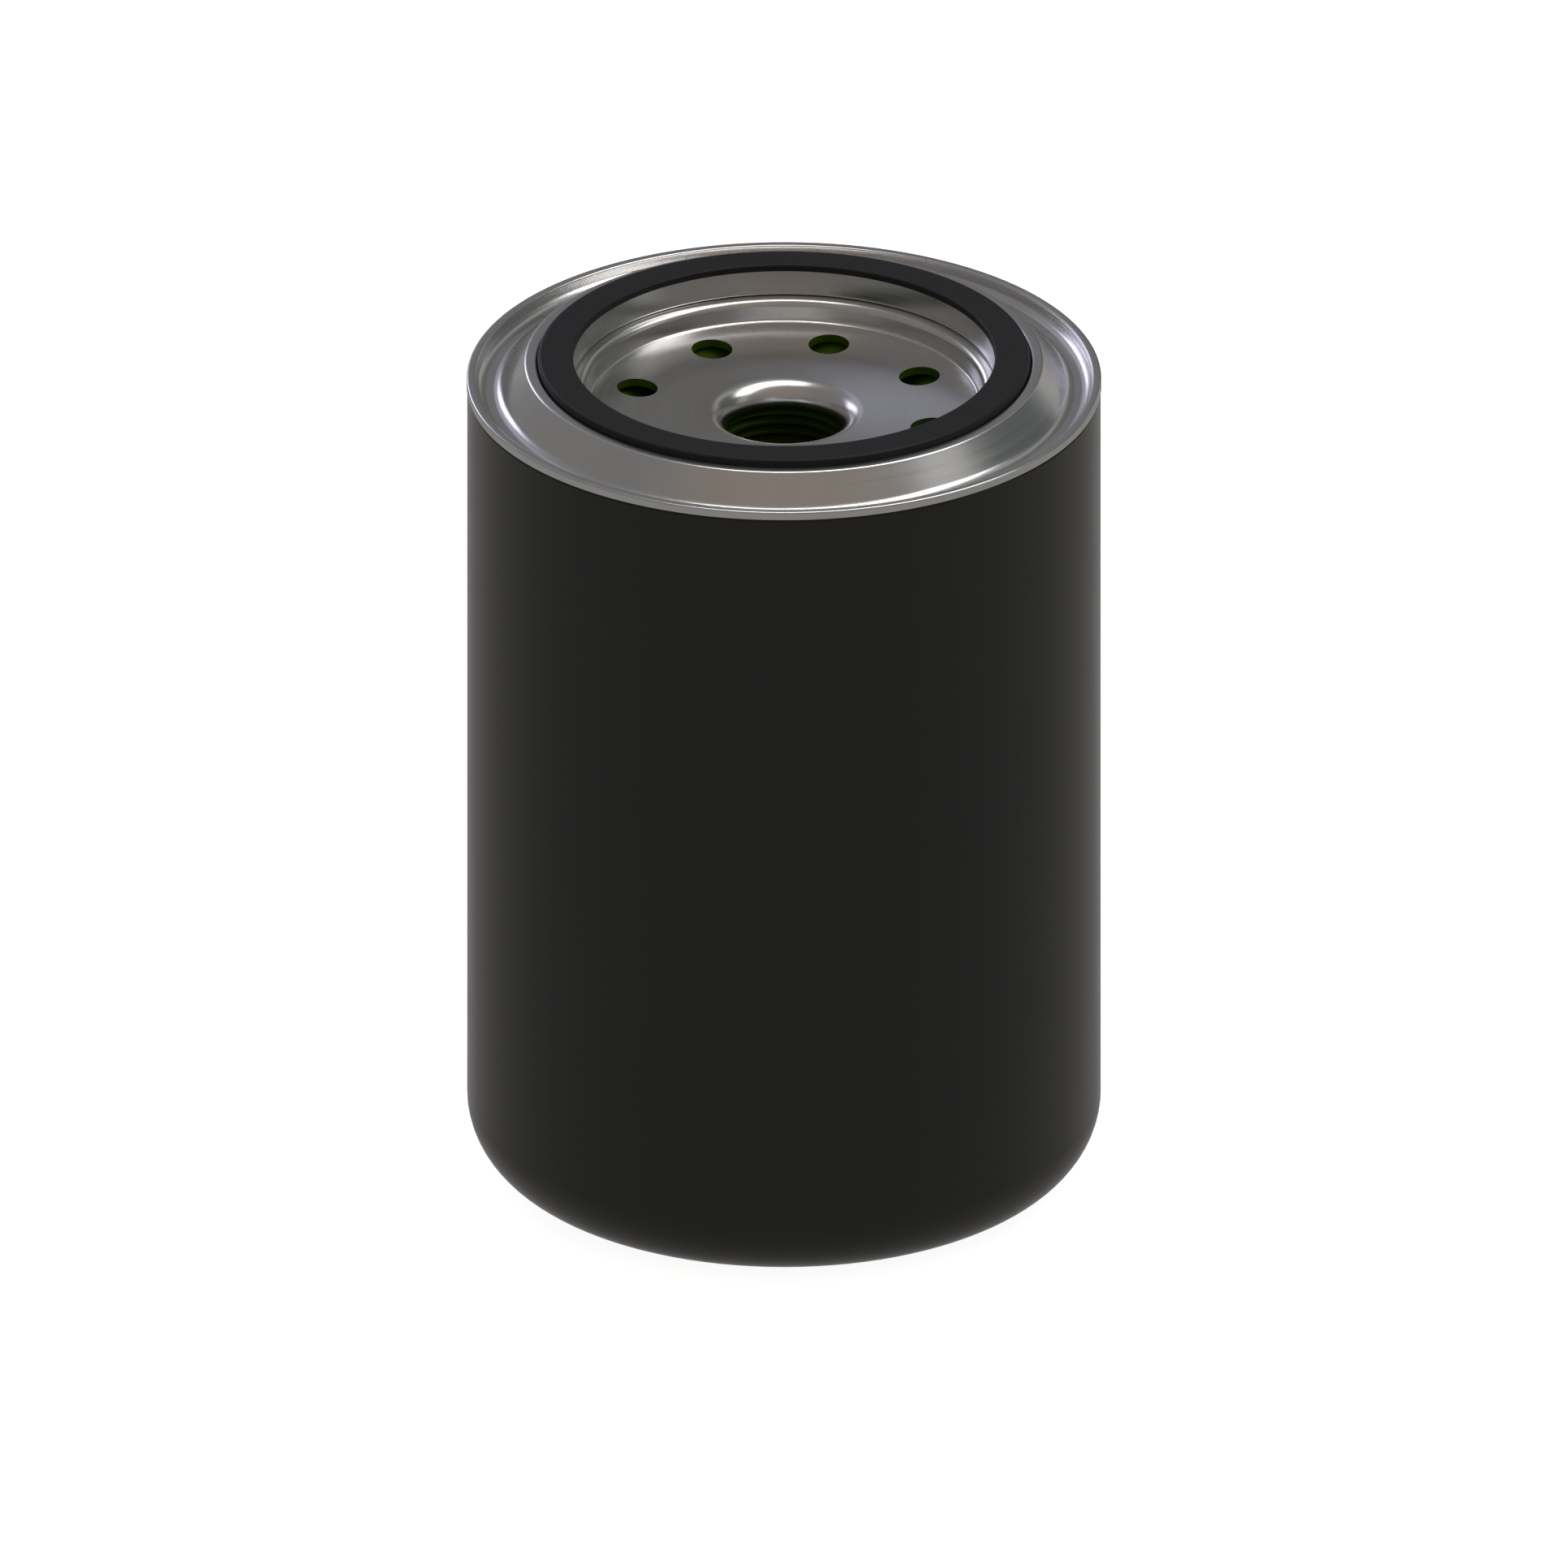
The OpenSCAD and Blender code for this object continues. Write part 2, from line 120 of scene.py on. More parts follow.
# Soft cards on the room's walls: azimuth and elevation in degrees, full inside the first
# radius and gone outside the second, and their colour. A later card covers an earlier one.
CARDS = (
    ((0, 50), (10, 50), (0.28, 0.247, 0.214)),      # warm, over the camera
    ((115, 14), (34, 48), (0.44, 0.44, 0.43)),      # pale, on the right
    ((180, 20), (14, 32), (0.135, 0.135, 0.131)),   # dark, straight behind the filter
    ((118, 25), (16, 31), (0.10, 0.113, 0.109)),    # dark, inside the pale one on the right
    ((-156, 8), (5, 13), (0.40, 0.40, 0.41)),       # pale, low and behind on the left
    ((-164, 26), (7, 16), (0.44, 0.45, 0.55)),      # violet, behind on the left
)


def add_light(name, azimuth, elevation, distance, size, radiance, colour=(1, 1, 1), roll=0):
    """A soft rectangular light, placed round the filter from the camera's side."""
    data = bpy.data.lights.new(name, "AREA")
    data.shape = "RECTANGLE"
    data.size, data.size_y = size
    data.energy = radiance * math.pi * size[0] * size[1]
    data.color = colour
    light = bpy.data.objects.new(name, data)
    bpy.context.scene.collection.objects.link(light)
    target = Vector((0, 0, rim_top))
    look_at(light, target + distance * from_camera(azimuth, elevation), target)
    light.rotation_euler.rotate_axis("Z", math.radians(roll))
    return light


def add_world():
    """A plain grey room with soft cards, which is white where the camera sees it directly."""
    world = bpy.data.worlds.new("studio")
    world.use_nodes = True
    bpy.context.scene.world = world
    tree = world.node_tree
    tree.nodes.clear()
    new, link = tree.nodes.new, tree.links.new
    coord = new("ShaderNodeTexCoord")
    room = new("ShaderNodeBackground")
    room.inputs["Color"].default_value = (*ROOM, 1)
    for (azimuth, elevation), (full, gone), colour in CARDS:
        facing = new("ShaderNodeVectorMath")
        facing.operation = "DOT_PRODUCT"
        link(coord.outputs["Generated"], facing.inputs[0])
        facing.inputs[1].default_value = from_camera(azimuth, elevation)
        fade = new("ShaderNodeMapRange")
        fade.interpolation_type = "SMOOTHSTEP"
        link(facing.outputs["Value"], fade.inputs["Value"])
        fade.inputs["From Min"].default_value = math.cos(math.radians(gone))
        fade.inputs["From Max"].default_value = math.cos(math.radians(full))
        mix = new("ShaderNodeMix")
        mix.data_type = "RGBA"
        link(fade.outputs[0], mix.inputs[0])
        before = room.inputs["Color"]
        if before.is_linked:
            link(before.links[0].from_socket, mix.inputs[6])
        else:
            mix.inputs[6].default_value = before.default_value
        mix.inputs[7].default_value = (*colour, 1)
        link(mix.outputs[2], before)
    seen = new("ShaderNodeBackground")
    seen.inputs["Color"].default_value = (1, 1, 1, 1)
    path = new("ShaderNodeLightPath")
    choose = new("ShaderNodeMixShader")
    out = new("ShaderNodeOutputWorld")
    link(path.outputs["Is Camera Ray"], choose.inputs[0])
    link(room.outputs[0], choose.inputs[1])
    link(seen.outputs[0], choose.inputs[2])
    link(choose.outputs[0], out.inputs["Surface"])


def add_floor():
    mesh = bpy.data.meshes.new("floor")
    reach = 4.0
    gap = 0.05 * MM
    corners = [(-reach, -reach, 0), (reach, -reach, 0), (reach, reach, 0), (-reach, reach, 0)]
    mesh.from_pydata(corners, [], [(0, 1, 2, 3)])
    floor = bpy.data.objects.new("floor", mesh)
    floor.location.z = -gap
    bpy.context.scene.collection.objects.link(floor)
    floor.data.materials.append(floor_paper())


# ---------------------------------------------------------------- material helpers

NOISE_SPAN = (0.3, 0.7)         # nearly all of a noise's values lie between these


class Shader:
    """A material with a Principled shader, and short ways to add and join nodes."""

    def __init__(self, name, **sockets):
        self.material = bpy.data.materials.new(name)
        self.material.use_nodes = True
        self.tree = self.material.node_tree
        self.tree.nodes.clear()
        self.out = self.node("OutputMaterial")
        self.bsdf = self.node("BsdfPrincipled")
        self.link(self.bsdf.outputs[0], self.out.inputs["Surface"])
        for key, value in sockets.items():
            self.bsdf.inputs[key.replace("_", " ")].default_value = value

    def node(self, kind, **settings):
        made = self.tree.nodes.new("ShaderNode" + kind)
        for key, value in settings.items():
            setattr(made, key, value)
        return made

    def link(self, a, b):
        self.tree.links.new(a, b)

    def feed(self, socket, value):
        """Joins another node's output to a socket, or sets the socket to a plain value."""
        if isinstance(value, bpy.types.NodeSocket):
            self.link(value, socket)
        else:
            socket.default_value = value

    def place(self):
        """The surface point in the frame's metres."""
        return self.node("TexCoord").outputs["Object"]

    def math(self, operation, *values):
        made = self.node("Math", operation=operation)
        for socket, value in zip(made.inputs, values):
            self.feed(socket, value)
        return made.outputs[0]

    def noise(self, scale, detail=3, roughness=0.5, vector=None, stretch=None):
        source = vector or self.place()
        if stretch:
            mapping = self.node("Mapping")
            self.link(source, mapping.inputs["Vector"])
            mapping.inputs["Scale"].default_value = stretch
            source = mapping.outputs[0]
        made = self.node("TexNoise")
        self.link(source, made.inputs["Vector"])
        made.inputs["Scale"].default_value = scale
        made.inputs["Detail"].default_value = detail
        made.inputs["Roughness"].default_value = roughness
        return made.outputs["Fac"]

    def ramp(self, value, low, high, start=0.0, end=1.0):
        """Maps value from start..end onto low..high, which may be numbers or colours."""
        made = self.node("MapRange", clamp=True)
        colour = isinstance(low, tuple)
        self.feed(made.inputs["Value"], value)
        made.inputs["From Min"].default_value = start
        made.inputs["From Max"].default_value = end
        if not colour:
            made.inputs["To Min"].default_value = low
            made.inputs["To Max"].default_value = high
            return made.outputs[0]
        made.inputs["To Min"].default_value = 0
        made.inputs["To Max"].default_value = 1
        return self.blend(made.outputs[0], low, high)

    def blend(self, factor, a, b):
        mix = self.node("Mix", data_type="RGBA")
        self.feed(mix.inputs[0], factor)
        for socket, value in ((mix.inputs[6], a), (mix.inputs[7], b)):
            self.feed(socket, (*value, 1) if isinstance(value, tuple) else value)
        return mix.outputs[2]

    def polar(self):
        """(distance from the axis, angle round it, height), in metres and radians."""
        split = self.node("SeparateXYZ")
        self.link(self.place(), split.inputs[0])
        x, y, z = split.outputs
        square = self.math("ADD", self.math("MULTIPLY", x, x), self.math("MULTIPLY", y, y))
        return self.math("SQRT", square), self.math("ARCTAN2", y, x), z

    def around(self, radial, along, turn):
        """A vector for noise that is drawn out round the axis, as lathe and drawing marks are."""
        radius, angle, height = self.polar()
        join = self.node("CombineXYZ")
        self.link(self.math("MULTIPLY", radius, radial), join.inputs[0])
        self.link(self.math("MULTIPLY", height, along), join.inputs[1])
        self.link(self.math("MULTIPLY", self.math("SINE", angle), turn), join.inputs[2])
        return join.outputs[0]

    def bump(self, height, strength, distance):
        made = self.node("Bump")
        made.inputs["Strength"].default_value = strength
        made.inputs["Distance"].default_value = distance
        self.link(height, made.inputs["Height"])
        last = self.bsdf.inputs["Normal"]
        if last.is_linked:
            self.link(last.links[0].from_socket, made.inputs["Normal"])
        self.link(made.outputs[0], last)


# ---------------------------------------------------------------- materials

def floor_paper():
    """White paper to the camera. Whatever else looks at it sees it as part of the grey room."""
    s = Shader("floor_paper", Roughness=0.9)
    s.bsdf.inputs["Specular IOR Level"].default_value = 0.0
    grain = s.noise(900, detail=2)
    s.link(s.ramp(grain, (0.73, 0.73, 0.73), (0.77, 0.77, 0.77)), s.bsdf.inputs["Base Color"])
    s.bsdf.inputs["Emission Color"].default_value = (1, 1, 1, 1)
    s.bsdf.inputs["Emission Strength"].default_value = 0.92
    room = s.node("Emission")
    room.inputs["Color"].default_value = (*FLOOR_GLOW, 1)
    choose = s.node("MixShader")
    s.link(s.node("LightPath").outputs["Is Camera Ray"], choose.inputs[0])
    s.link(room.outputs[0], choose.inputs[1])
    s.link(s.bsdf.outputs[0], choose.inputs[2])
    s.link(choose.outputs[0], s.out.inputs["Surface"])
    return s.material


def can_paint():
    """Black enamel: a very fine orange peel, and a little unevenness of tone and gloss."""
    s = Shader("can_paint", Roughness=0.16)
    cloud = s.noise(40, detail=4)
    fine = s.noise(1400, detail=2)
    base = s.ramp(cloud, (0.0082, 0.0078, 0.0074), (0.0100, 0.0096, 0.0090), *NOISE_SPAN)
    s.link(base, s.bsdf.inputs["Base Color"])
    s.link(s.ramp(s.noise(120, detail=4), 0.14, 0.18, *NOISE_SPAN), s.bsdf.inputs["Roughness"])
    s.bump(s.noise(600, detail=1), 0.05, 0.01 * MM)
    s.bump(fine, 0.04, 0.005 * MM)
    return s.material


def bright_steel(name, colour, roughness, marks_strength=0.008):
    """Plated sheet: fine marks drawn out round the axis, and faint clouding."""
    s = Shader(name, Metallic=1.0)
    marks = s.noise(1, detail=1, vector=s.around(1600, 1600, 1.2))
    cloud = s.noise(70, detail=4)
    dark = tuple(0.95 * c for c in colour)
    s.link(s.ramp(cloud, dark, colour, *NOISE_SPAN), s.bsdf.inputs["Base Color"])
    soft = s.ramp(cloud, roughness - 0.01, roughness + 0.02, *NOISE_SPAN)
    s.link(s.math("ADD", s.ramp(marks, -0.02, 0.02, *NOISE_SPAN), soft), s.bsdf.inputs["Roughness"])
    s.bump(marks, marks_strength, 0.01 * MM)
    return s


def lid_steel():
    return bright_steel("lid_steel", (0.70, 0.688, 0.68), 0.22).material


# Where the base plate's green coat begins: this far below its bright face outside the collar's mouth,
# and this far below the web inside the collar, where the coat is also darkened as painted shade for
# the deep bore
COAT_BELOW_FACE = 0.06 * MM
COAT_AND_SHADE_BELOW_WEB = 3.9 * MM
COLLAR_MOUTH_R = 14 * MM


def plate_steel():
    """Bright on top, with a green conversion coat in the cut holes and on the oil side. Inside the
    collar the coat is darkened as painted shade in the bore.
    """
    s = bright_steel("plate_steel", (0.70, 0.688, 0.675), 0.22)
    radius, _, height = s.polar()
    fall = s.math("MULTIPLY", s.math("SUBTRACT", INLET_R, radius), WEB_SLOPE)
    surface = s.math("SUBTRACT", web_top, fall)
    depth = s.math("SUBTRACT", surface, height)
    below = s.math("GREATER_THAN", depth, COAT_BELOW_FACE)
    outside_mouth = s.math("GREATER_THAN", radius, COLLAR_MOUTH_R)
    collar_coat_and_shade = s.math("GREATER_THAN", s.math("SUBTRACT", web_top, height), COAT_AND_SHADE_BELOW_WEB)
    green = s.math("MAXIMUM", s.math("MULTIPLY", below, outside_mouth), collar_coat_and_shade)
    base = s.bsdf.inputs["Base Color"]
    s.link(s.blend(green, base.links[0].from_socket, (0.07, 0.13, 0.005)), base)
    # painted shade: inside the collar the green coat is darkened to the bush's dark green, standing
    # for the shade deep in the bore
    s.link(s.blend(collar_coat_and_shade, base.links[0].from_socket, (0.014, 0.028, 0.003)), base)
    s.link(s.math("SUBTRACT", 1.0, s.math("MULTIPLY", green, 0.75)), s.bsdf.inputs["Metallic"])
    return s.material


def bush_steel():
    """Dark green passivate over turning marks."""
    s = Shader("bush_steel", Roughness=0.5)
    s.bsdf.inputs["Specular IOR Level"].default_value = 0.04
    marks = s.noise(1, detail=3, vector=s.around(2000, 3000, 1.0))
    tone = s.ramp(marks, (0.018, 0.036, 0.002), (0.022, 0.044, 0.003), *NOISE_SPAN)
    s.link(tone, s.bsdf.inputs["Base Color"])
    s.link(s.ramp(marks, 0.46, 0.56, *NOISE_SPAN), s.bsdf.inputs["Roughness"])
    s.bump(marks, 0.1, 0.01 * MM)
    return s.material


def rubber(name, colour, roughness, grain=1500, shine=0.25):
    """Moulded rubber or resin: a fine matt grain over a faintly clouded colour."""
    s = Shader(name)
    cloud = s.noise(80, detail=4)
    fine = s.noise(grain, detail=3)
    lighter = tuple(1.1 * c for c in colour)
    s.link(s.ramp(cloud, colour, lighter, *NOISE_SPAN), s.bsdf.inputs["Base Color"])
    s.link(s.ramp(fine, roughness - 0.05, roughness + 0.05, *NOISE_SPAN), s.bsdf.inputs["Roughness"])
    s.bsdf.inputs["Specular IOR Level"].default_value = shine
    s.bump(fine, 0.08, 0.01 * MM)
    return s.material


def gasket_rubber():
    return rubber("gasket_rubber", (0.0128, 0.0128, 0.0138), 0.5, shine=0.22)


def valve_rubber():
    return rubber("valve_rubber", (0.036, 0.074, 0.002), 0.6, shine=0.04)


def seal_rubber():
    return rubber("seal_rubber", (0.03, 0.03, 0.03), 0.6)


def seam_compound():
    return rubber("seam_compound", (0.45, 0.4, 0.3), 0.7)


def potting():
    return rubber("potting", (0.6, 0.56, 0.45), 0.4, grain=900, shine=0.5)


def cap_steel():
    return bright_steel("cap_steel", (0.56, 0.56, 0.55), 0.3).material


def tube_steel():
    return bright_steel("tube_steel", (0.52, 0.52, 0.52), 0.38).material


def valve_steel():
    return bright_steel("valve_steel", (0.5, 0.5, 0.47), 0.33).material


def spring_steel():
    return bright_steel("spring_steel", (0.45, 0.45, 0.47), 0.3).material


def filter_paper():
    """Resin-cured paper: felted fibres, and the shallow ribs pressed across its pleats."""
    s = Shader("filter_paper", Roughness=0.85)
    fibres = s.noise(1, detail=5, roughness=0.65, stretch=(2600, 2600, 700))
    tone = s.ramp(fibres, (0.62, 0.5, 0.27), (0.78, 0.66, 0.4), *NOISE_SPAN)
    s.link(tone, s.bsdf.inputs["Base Color"])
    s.bump(fibres, 0.3, 0.05 * MM)
    _, _, height = s.polar()
    rib_pitch = 2.4 * MM
    s.bump(s.math("SINE", s.math("MULTIPLY", height, TURN / rib_pitch)), 0.5, 0.06 * MM)
    return s.material


def cord():
    s = Shader("cord", Roughness=0.8)
    twist = s.noise(2500, detail=2)
    tone = s.ramp(twist, (0.66, 0.63, 0.54), (0.84, 0.82, 0.74), *NOISE_SPAN)
    s.link(tone, s.bsdf.inputs["Base Color"])
    s.bump(twist, 0.4, 0.1 * MM)
    return s.material


# ---------------------------------------------------------------- smoothing of the meshes

SHARP_EDGE = math.radians(35)
WELD = 0.002 * MM


def smoothing_nodes():
    """Joins the faces of a mesh, shades it smooth, and keeps its sharp edges sharp."""
    tree = bpy.data.node_groups.new("smooth_cad", "GeometryNodeTree")
    tree.interface.new_socket("Geometry", in_out="INPUT", socket_type="NodeSocketGeometry")
    tree.interface.new_socket("Geometry", in_out="OUTPUT", socket_type="NodeSocketGeometry")
    source = tree.nodes.new("NodeGroupInput")
    clear = tree.nodes.new("GeometryNodeRemoveAttribute")
    weld = tree.nodes.new("GeometryNodeMergeByDistance")
    faces = tree.nodes.new("GeometryNodeSetShadeSmooth")
    edges = tree.nodes.new("GeometryNodeSetShadeSmooth")
    angle = tree.nodes.new("GeometryNodeInputMeshEdgeAngle")
    gentle = tree.nodes.new("FunctionNodeCompare")
    result = tree.nodes.new("NodeGroupOutput")
    clear.inputs["Name"].default_value = "custom_normal"
    weld.inputs["Distance"].default_value = WELD
    faces.domain = "FACE"
    edges.domain = "EDGE"
    gentle.operation = "LESS_THAN"
    gentle.inputs[1].default_value = SHARP_EDGE
    link = tree.links.new
    link(source.outputs[0], clear.inputs["Geometry"])
    link(clear.outputs[0], weld.inputs["Geometry"])
    link(weld.outputs[0], faces.inputs["Geometry"])
    link(faces.outputs[0], edges.inputs["Geometry"])
    link(angle.outputs["Unsigned Angle"], gentle.inputs[0])
    link(gentle.outputs[0], edges.inputs["Shade Smooth"])
    link(edges.outputs[0], result.inputs[0])
    return tree


def smooth(obj):
    modifier = obj.modifiers.new("smooth", "NODES")
    modifier.node_group = smooth_cad
    weighted = obj.modifiers.new("weighted", "WEIGHTED_NORMAL")
    weighted.keep_sharp = True
    weighted.weight = 100


# ---------------------------------------------------------------- mesh helpers

LATHE_SIDES = 128


def corner_arc(before, corner, after, radius, step=math.radians(9)):
    """Points of the arc that rounds a corner between two straight runs."""
    u = (before - corner).normalized()
    v = (after - corner).normalized()
    half = math.acos(max(-1, min(1, u.dot(v)))) / 2
    centre = corner + (u + v).normalized() * radius / math.sin(half)
    first = corner + u * radius / math.tan(half) - centre
    last = corner + v * radius / math.tan(half) - centre
    start = math.atan2(first.y, first.x)
    sweep = math.atan2(first.x * last.y - first.y * last.x, first.dot(last))
    count = max(3, math.ceil(abs(sweep) / step))
    angles = [start + sweep * i / count for i in range(count + 1)]
    return [centre + radius * Vector((math.cos(a), math.sin(a))) for a in angles]


def rounded(stops):
    """Points round a closed outline of (radius, height, corner radius), in metres."""
    count = len(stops)
    points = []
    for i, (x, y, radius) in enumerate(stops):
        corner = Vector((x, y))
        if radius:
            before, after = Vector(stops[i - 1][:2]), Vector(stops[(i + 1) % count][:2])
            points += corner_arc(before, corner, after, radius)
        else:
            points.append(corner)
    return points


def grid_faces(rows, columns, close_rows=False, close_columns=True, slip=0):
    """Quads of a grid of points. The last column meets the first one slip rows further on."""
    faces = []
    for i in range(rows if close_rows else rows - 1):
        for j in range(columns if close_columns else columns - 1):
            k = (j + 1) % columns
            shift = slip if k < j else 0
            a, b = i % rows, (i + 1) % rows
            c, d = a + shift, b + shift
            if max(c, d) < rows:
                faces.append((a * columns + j, c * columns + k, d * columns + k, b * columns + j))
    return faces


def add_piece(name, points, faces, slot, body, *nodes):
    """A new piece that rides on a body, in place of these CAD nodes."""
    mesh = bpy.data.meshes.new(name)
    mesh.from_pydata([tuple(p) for p in points], [], faces)
    mesh.materials.append(made[slot])
    weld_and_orient(mesh)
    piece = bpy.data.objects.new(name, mesh)
    bpy.context.scene.collection.objects.link(piece)
    smooth(piece)
    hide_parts(*nodes)
    if body:
        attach(piece, body)
    return piece


def weld_and_orient(mesh):
    """Joins points in one place, drops the faces that this closes up, and turns all faces out."""
    work = bmesh.new()
    work.from_mesh(mesh)
    same_place, shortest_edge = 0.001 * MM, 0.0005 * MM
    bmesh.ops.remove_doubles(work, verts=work.verts, dist=same_place)
    bmesh.ops.dissolve_degenerate(work, edges=work.edges, dist=shortest_edge)
    bmesh.ops.recalc_face_normals(work, faces=work.faces)
    work.to_mesh(mesh)
    work.free()


def lathe_points(outline, sides):
    """Points of an outline of (radius, height) turned round the axis, one ring for each."""
    angles = [TURN * j / sides for j in range(sides)]
    return [(r * math.cos(a), r * math.sin(a), z) for r, z in outline for a in angles]


# ---------------------------------------------------------------- threaded bush

THREAD_PITCH = 25.4 / 16 * MM
THREAD_MAJOR_R = 19.05 / 2 * MM
THREAD_MINOR_R = 17.46 / 2 * MM
THREAD_CHAMFER = 0.85 * MM
# Where the thread's crest and root begin and end, as shares of its pitch
THREAD_FORM = (
    (0.0, THREAD_MINOR_R),
    (0.25, THREAD_MINOR_R),
    (0.56, THREAD_MAJOR_R),
    (0.69, THREAD_MAJOR_R),
)


def add_bush():
    """A turned bush with a real helical thread. Its top follows the base plate's underside."""
    low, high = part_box("threaded_bush")
    flange_r = high.x
    bottom, rim = low.z, high.z
    top = rim_top - 9.22 * MM
    shoulder = rim_top - 13.05 * MM
    flange_under = rim_top - 9.6 * MM
    collar_r = 9.95 * MM
    bend_r = collar_r + 2 * MM
    bore_end_r = THREAD_MINOR_R + THREAD_CHAMFER
    barrel_r = 13 * MM
    shoulder_r = 15 * MM
    chamfer = 0.5 * MM
    outline = rounded([
        (bore_end_r, bottom, 0),
        (barrel_r - chamfer, bottom, 0),
        (barrel_r, bottom + chamfer, 0),
        (barrel_r, shoulder, 0),
        (shoulder_r, shoulder, 0.25 * MM),
        (shoulder_r, flange_under, 0.3 * MM),
        (flange_r, flange_under, 0.3 * MM),
        (flange_r, rim, 0),
        (collar_r, rim - WEB_SLOPE * (flange_r - collar_r), bend_r - collar_r),
        (collar_r, top, 0),
        (bore_end_r, top, 0),
    ])
    points = lathe_points(outline, LATHE_SIDES)
    faces = grid_faces(len(outline), LATHE_SIDES)
    first_row = len(points)
    turns = math.ceil((top - bottom) / THREAD_PITCH) + 2
    rows = 0
    for turn in range(-1, turns):
        for share, form_r in THREAD_FORM:
            for j in range(LATHE_SIDES):
                angle = TURN * j / LATHE_SIDES
                z = bottom + THREAD_PITCH * (turn + share + j / LATHE_SIDES)
                lead = THREAD_MINOR_R + THREAD_CHAMFER - min(z - bottom, top - z)
                r = max(form_r, lead)
                if z <= bottom or z >= top:
                    z, r = max(bottom, min(top, z)), bore_end_r
                points.append((r * math.cos(angle), r * math.sin(angle), z))
            rows += 1
    for face in grid_faces(rows, LATHE_SIDES, slip=len(THREAD_FORM)):
        faces.append(tuple(first_row + k for k in face))
    add_piece("bush", points, faces, "bush_steel", "housing", "threaded_bush")


# ---------------------------------------------------------------- anti-drainback diaphragm

def add_diaphragm():
    """One moulding of rubber: a foot on the element, a neck, and a flap that lies up to the plate."""
    neck_low, neck_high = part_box("drainback_neck")
    flap_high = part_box("drainback_flap")[1]
    foot, neck_top, lip = neck_low.z, neck_high.z, flap_high.z
    foot_r, lip_r = neck_high.x, flap_high.x
    neck_in = 13.1 * MM
    neck_out = 15 * MM
    foot_top = foot + 0.9 * MM
    root = neck_top + 0.7 * MM
    outline = rounded([
        (neck_in, foot, 0.2 * MM),
        (foot_r, foot, 0.4 * MM),
        (foot_r, foot_top, 0.4 * MM),
        (neck_out, foot_top, 0.8 * MM),
        (neck_out, neck_top - 0.85 * MM, 0.6 * MM),
        (lip_r - 1.9 * MM, lip - 1.45 * MM, 1.5 * MM),
        (lip_r, lip - 1.1 * MM, 0.45 * MM),
        (lip_r, lip, 0.4 * MM),
        (lip_r - 0.9 * MM, lip, 0.15 * MM),
        (lip_r - 1.0 * MM, lip - 0.18 * MM, 0.1 * MM),
        (lip_r - 1.5 * MM, lip - 0.18 * MM, 0.6 * MM),
        (neck_out + 0.5 * MM, root + 0.25 * MM, 0.4 * MM),
        (neck_out + 0.16 * MM, neck_top, 0.1 * MM),
        (neck_in, neck_top, 0.2 * MM),
    ])
    points = lathe_points(outline, LATHE_SIDES)
    faces = grid_faces(len(outline), LATHE_SIDES, close_rows=True)
    nodes = ("drainback_neck", "drainback_flap")
    piece = add_piece("diaphragm", points, faces, "valve_rubber", None, *nodes)
    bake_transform(piece)


# ---------------------------------------------------------------- coil springs

WIRE_SIDES = 16
WIRE_STEPS = 48                 # rings of the mesh in each turn
TIGHT_PITCH = 1.02              # pitch of the closed end turns, in wires
GROUND_OFF = 0.25               # how much of the wire's radius is ground off the ends
TIP_THICKNESS = 0.9             # thickness of the wire's two tips, in wires


def coil_points(mean_r, wire_r, turns, low, high):
    """A wire wound round the axis, with its first and last turns closed up and ground flat."""
    travel = high - low - 2 * wire_r
    closed = 2 * wire_r * TIGHT_PITCH
    rows = turns * WIRE_STEPS
    points = []
    for i in range(rows + 1):
        s = i / WIRE_STEPS
        if s < 1:
            rise = closed * s
        elif s > turns - 1:
            rise = travel - closed * (turns - s)
        else:
            rise = closed + (travel - 2 * closed) * (s - 1) / (turns - 2)
        thick = wire_r * (TIP_THICKNESS if i in (0, rows) else 1)
        for j in range(WIRE_SIDES):
            a = TURN * j / WIRE_SIDES
            r = mean_r + thick * math.cos(a)
            z = low + wire_r + rise + thick * math.sin(a)
            z = max(low + GROUND_OFF * wire_r, min(high - GROUND_OFF * wire_r, z))
            points.append((r * math.cos(TURN * s), r * math.sin(TURN * s), z))
    faces = grid_faces(rows + 1, WIRE_SIDES)
    faces.append(tuple(range(WIRE_SIDES)))
    faces.append(tuple(rows * WIRE_SIDES + j for j in reversed(range(WIRE_SIDES))))
    return points, faces


def add_spring(name, node, wire, turns, body):
    """A round coil in place of the CAD's."""
    low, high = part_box(node)
    wire_r = wire / 2
    mean_r = high.x - wire_r
    spare = 0.12 * wire         # the grinding takes off a little more than this at each end
    points, faces = coil_points(mean_r, wire_r, turns, low.z - spare, high.z + spare)
    piece = add_piece(name, points, faces, "spring_steel", body, node)
    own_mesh(piece)


# ---------------------------------------------------------------- pleated paper and its cords

PLEATS = 54
PAPER = 0.5 * MM                # the paper's thickness
PLEAT_ROOT_R = 17.4 * MM + PAPER / 2
PLEAT_TIP_R = 39 * MM - PAPER / 2
STRIP_END_R = 38.2 * MM         # where the strip's two ends lie side by side in the clip
STRIP_END_SIDE = 0.3 * MM
SWAY = 0.006                    # how far the pleats lean to and fro, in radians
SWAY_UP, SWAY_ROUND = 7, 23     # waves of that lean up the element, and round it
CLIP_REACH = 0.5                # radians from the clip that it holds straighter


def pleat_path():
    """The middle of the paper's thickness, from one end of the strip to the other."""
    path = [Vector((STRIP_END_R, STRIP_END_SIDE))]
    step = TURN / PLEATS
    for i in range(PLEATS):
        if i:
            path += fold_arc(PLEAT_TIP_R, i * step, 0.55 * MM, outward=True)
        path += fold_arc(PLEAT_ROOT_R, (i + 0.5) * step, 0.42 * MM, outward=False)
    path.append(Vector((STRIP_END_R, -STRIP_END_SIDE)))
    return path


